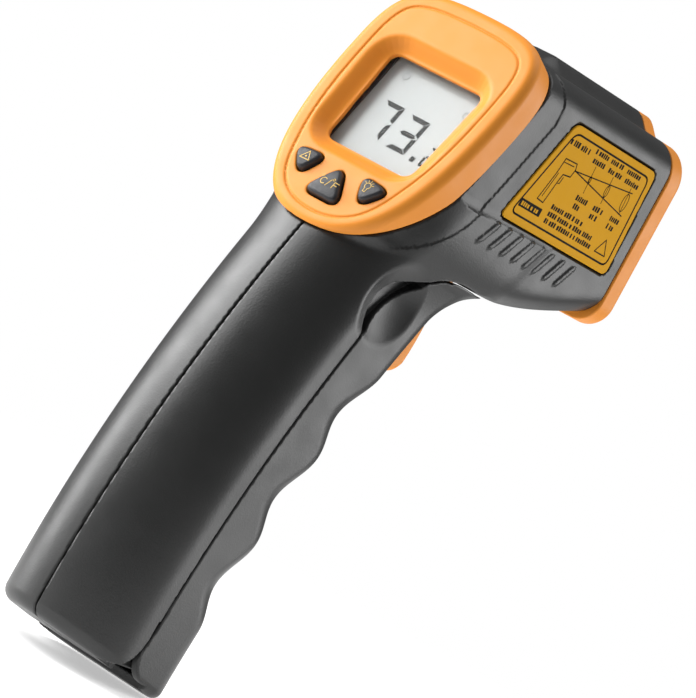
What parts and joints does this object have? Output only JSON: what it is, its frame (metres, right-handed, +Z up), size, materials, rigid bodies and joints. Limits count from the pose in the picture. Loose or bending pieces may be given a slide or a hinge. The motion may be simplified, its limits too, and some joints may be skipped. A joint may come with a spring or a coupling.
{
  "type": "infrared thermometer",
  "caption": "Pistol-grip infrared thermometer with rear display and keys, sprung trigger, nose optics and a hinged battery door in the grip.",
  "frame": {"origin": "middle of the whole device in X and Y, at its lowest point", "axes": "+X the device's right, +Y the way it aims, +Z up"},
  "size_m": [0.043, 0.1012, 0.153],
  "materials": {
    "grey_plastic": "fine satin grain",
    "orange_plastic": "satin",
    "key_plastic": "satin",
    "clear_window": "clear",
    "label": "printed foil",
    "black_plastic": "matte",
    "lead_black": "insulation",
    "lead_red": "insulation",
    "steel": "plated",
    "circuit_board": "solder mask",
    "chip": "moulded",
    "lcd": "reflective cell",
    "white_plastic": "diffuser",
    "rubber": "silicone",
    "infrared_lens": "polished",
    "brass": "turned",
    "battery_can": "lacquered"
  },
  "bodies": {
    "root": {"housing_right": "grey_plastic", "housing_left": "grey_plastic", "display_bezel": "orange_plastic", "display_window": "clear_window", "front_bezel": "orange_plastic", "label_right": "label", "trigger_pin": "steel", "trigger_spring": "steel", "trigger_board": "circuit_board", "trigger_switch": "black_plastic", "key_switch_1": "black_plastic", "key_switch_2": "black_plastic", "key_switch_3": "black_plastic", "main_board": "circuit_board", "board_screw_1": "steel", "board_screw_2": "steel", "board_screw_3": "steel", "board_screw_4": "steel", "lcd_frame": "black_plastic", "lcd_glass": "lcd", "backlight_plate": "white_plastic", "zebra_strip": "rubber", "mcu_chip": "chip", "buzzer": "black_plastic", "sensor_tube": "black_plastic", "lens_ring": "black_plastic", "ir_lens": "infrared_lens", "thermopile": "steel", "sensor_board": "circuit_board", "laser_module": "brass", "laser_lens": "clear_window", "battery_9v": "battery_can", "battery_snap": "black_plastic", "battery_lead_red": "lead_red", "battery_lead_black": "lead_black", "case_screw_1": "steel", "case_screw_2": "steel", "case_screw_3": "steel", "case_screw_4": "steel", "case_screw_5": "steel"},
    "door": {"battery_door": "grey_plastic"},
    "trigger": {"trigger": "orange_plastic"},
    "key_laser": {"key_laser": "key_plastic"},
    "key_unit": {"key_unit": "key_plastic"},
    "key_backlight": {"key_backlight": "key_plastic"}
  },
  "joints": [
    {"name": "battery_door_hinge", "type": "hinge", "parent": "root", "child": "door", "pos_m": [0, -0.02742, 0.00956], "axis": [-1, 0, 0], "range_deg": [0, 60]},
    {"name": "trigger_pull", "type": "hinge", "parent": "root", "child": "trigger", "pos_m": [0, 0.00758, 0.10786], "axis": [-1, 0, 0], "range_deg": [0, 6], "stiffness_Nm_per_rad": 0.6, "springref_deg": -2.86},
    {"name": "key_laser_press", "type": "slide", "parent": "root", "child": "key_laser", "axis": [0, 0.9336, -0.3584], "range_m": [0, 0.0008], "stiffness_N_per_m": 900, "springref_m": -0.0002},
    {"name": "key_unit_press", "type": "slide", "parent": "root", "child": "key_unit", "axis": [0, 0.9336, -0.3584], "range_m": [0, 0.0008], "stiffness_N_per_m": 900, "springref_m": -0.0002},
    {"name": "key_backlight_press", "type": "slide", "parent": "root", "child": "key_backlight", "axis": [0, 0.9336, -0.3584], "range_m": [0, 0.0008], "stiffness_N_per_m": 900, "springref_m": -0.0002}
  ]
}
